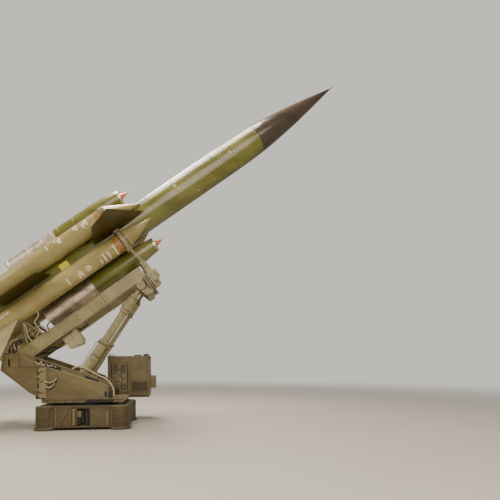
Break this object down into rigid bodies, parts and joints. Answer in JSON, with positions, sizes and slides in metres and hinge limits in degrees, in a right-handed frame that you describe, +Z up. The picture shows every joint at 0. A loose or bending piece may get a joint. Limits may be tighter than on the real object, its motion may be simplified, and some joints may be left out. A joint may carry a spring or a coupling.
{
  "type": "ramjet missile on a ground launcher",
  "caption": "Winged ramjet missile with strap-on boosters, held nose up on a turntable launcher with beams, telescopic struts and an equipment cabinet.",
  "frame": {"origin": "on the floor at the turntable's vertical axis, at the centre of the base's middle pad", "axes": "+Z up, +X towards the end that the missile's nose points to, +Y to the missile's left, where the equipment cabinet stands"},
  "size_m": [7.2564, 2.8, 6.6514],
  "materials": {
    "olive_paint": "satin olive green paint over aluminium",
    "green_paint": "dark olive green paint",
    "radome_paint": "dull grey-brown moulded radome",
    "hot_steel": "heat-tinted bare steel",
    "copper_paint": "copper-coloured finish",
    "booster_paint": "satin drab paint",
    "launcher_paint": "semi-gloss khaki-green paint",
    "dark_metal": "dull black paint",
    "chromed_rod": "ground and chromed",
    "bare_metal": "bare turned metal",
    "hose_sleeve": "pale braided hose"
  },
  "bodies": {
    "base": {"base_frame": "launcher_paint", "slewing_ring": "dark_metal"},
    "turntable": {"turntable_deck": "launcher_paint", "cheek_right": "launcher_paint", "cheek_left": "launcher_paint", "cabinet_frame": "dark_metal", "cabinet": "launcher_paint", "hose": "hose_sleeve"},
    "door_rear": {"cabinet_door_rear": "launcher_paint"},
    "door_front": {"cabinet_door_front": "launcher_paint"},
    "arm": {"beam_right": "launcher_paint", "beam_left": "launcher_paint", "trunnion_tube": "launcher_paint", "beam_tie": "launcher_paint", "crosshead": "launcher_paint", "support_arm_right": "launcher_paint", "support_arm_left": "launcher_paint", "rear_cradle": "launcher_paint", "junction_box": "launcher_paint", "cable_1": "hose_sleeve", "cable_2": "hose_sleeve", "nose_probe": "bare_metal", "radome": "radome_paint", "forebody": "olive_paint", "midbody": "olive_paint", "tailbody": "olive_paint", "tailplane_right": "green_paint", "tailplane_left": "green_paint", "ramjet_cowl_upper": "olive_paint", "ramjet_cowl_lower": "olive_paint", "ramjet_pipe_upper": "hot_steel", "ramjet_pipe_lower": "hot_steel", "ramjet_spike_upper": "copper_paint", "ramjet_spike_lower": "copper_paint", "ramjet_pylon_upper": "olive_paint", "ramjet_pylon_lower": "olive_paint", "booster_case_upper_right": "booster_paint", "booster_case_lower_right": "booster_paint", "booster_case_upper_left": "booster_paint", "booster_case_lower_left": "booster_paint", "booster_nozzle_upper_right": "dark_metal", "booster_nozzle_lower_right": "dark_metal", "booster_nozzle_upper_left": "dark_metal", "booster_nozzle_lower_left": "dark_metal", "booster_nose_upper_right": "booster_paint", "booster_nose_lower_right": "booster_paint", "booster_nose_upper_left": "booster_paint", "booster_nose_lower_left": "booster_paint", "booster_fin_upper_right": "olive_paint", "booster_fin_lower_right": "olive_paint", "booster_fin_upper_left": "olive_paint", "booster_fin_lower_left": "olive_paint"},
    "wing_right": {"wing_right": "green_paint"},
    "wing_left": {"wing_left": "green_paint"},
    "strut_right_barrel": {"strut_right_barrel": "launcher_paint"},
    "strut_right_ram": {"strut_right_ram": "launcher_paint"},
    "strut_left_barrel": {"strut_left_barrel": "launcher_paint"},
    "strut_left_ram": {"strut_left_ram": "launcher_paint"},
    "jack_barrel": {"jack_barrel": "launcher_paint"},
    "jack_ram": {"jack_ram": "chromed_rod"}
  },
  "joints": [
    {"name": "traverse", "type": "hinge", "parent": "base", "child": "turntable", "pos_m": [0, 0, 0.42], "axis": [0, 0, 1], "range_deg": [-170, 170]},
    {"name": "elevation", "type": "hinge", "parent": "turntable", "child": "arm", "pos_m": [-1.2, 0, 1.11], "axis": [0, -1, 0], "range_deg": [-30, 0]},
    {"name": "strut_right_swing", "type": "hinge", "parent": "turntable", "child": "strut_right_barrel", "pos_m": [-0.16, -0.33, 0.76], "axis": [0, -1, 0], "range_deg": [-41, 1]},
    {"name": "strut_right_slide", "type": "slide", "parent": "strut_right_barrel", "child": "strut_right_ram", "axis": [0.534, 0, 0.8455], "range_m": [-0.48, 0.005]},
    {"name": "strut_left_swing", "type": "hinge", "parent": "turntable", "child": "strut_left_barrel", "pos_m": [-0.16, 0.33, 0.76], "axis": [0, -1, 0], "range_deg": [-41, 1]},
    {"name": "strut_left_slide", "type": "slide", "parent": "strut_left_barrel", "child": "strut_left_ram", "axis": [0.534, 0, 0.8455], "range_m": [-0.48, 0.005]},
    {"name": "jack_swing", "type": "hinge", "parent": "turntable", "child": "jack_barrel", "pos_m": [-0.16, 0, 0.76], "axis": [0, -1, 0], "range_deg": [-41, 1]},
    {"name": "jack_slide", "type": "slide", "parent": "jack_barrel", "child": "jack_ram", "axis": [0.534, 0, 0.8455], "range_m": [-0.48, 0.005]},
    {"name": "wing_right_twist", "type": "hinge", "parent": "arm", "child": "wing_right", "pos_m": [0.4956, -0.282, 3.4959], "axis": [0, -1, 0], "range_deg": [-6, 6]},
    {"name": "wing_left_twist", "type": "hinge", "parent": "arm", "child": "wing_left", "pos_m": [0.4956, 0.282, 3.4959], "axis": [0, -1, 0], "range_deg": [-6, 6]},
    {"name": "door_rear_hinge", "type": "hinge", "parent": "turntable", "child": "door_rear", "pos_m": [0.299, 0.65, 0.8325], "axis": [0, 0, -1], "range_deg": [0, 95]},
    {"name": "door_front_hinge", "type": "hinge", "parent": "turntable", "child": "door_front", "pos_m": [0.588, 0.65, 0.8325], "axis": [0, 0, 1], "range_deg": [0, 95]}
  ],
  "couplings": [
    {"joint": "strut_right_swing", "follows": "elevation", "ratio": 1.335},
    {"joint": "strut_right_slide", "follows": "elevation", "m_per_rad": 0.905},
    {"joint": "strut_left_swing", "follows": "elevation", "ratio": 1.335},
    {"joint": "strut_left_slide", "follows": "elevation", "m_per_rad": 0.905},
    {"joint": "jack_swing", "follows": "elevation", "ratio": 1.335},
    {"joint": "jack_slide", "follows": "elevation", "m_per_rad": 0.905}
  ]
}
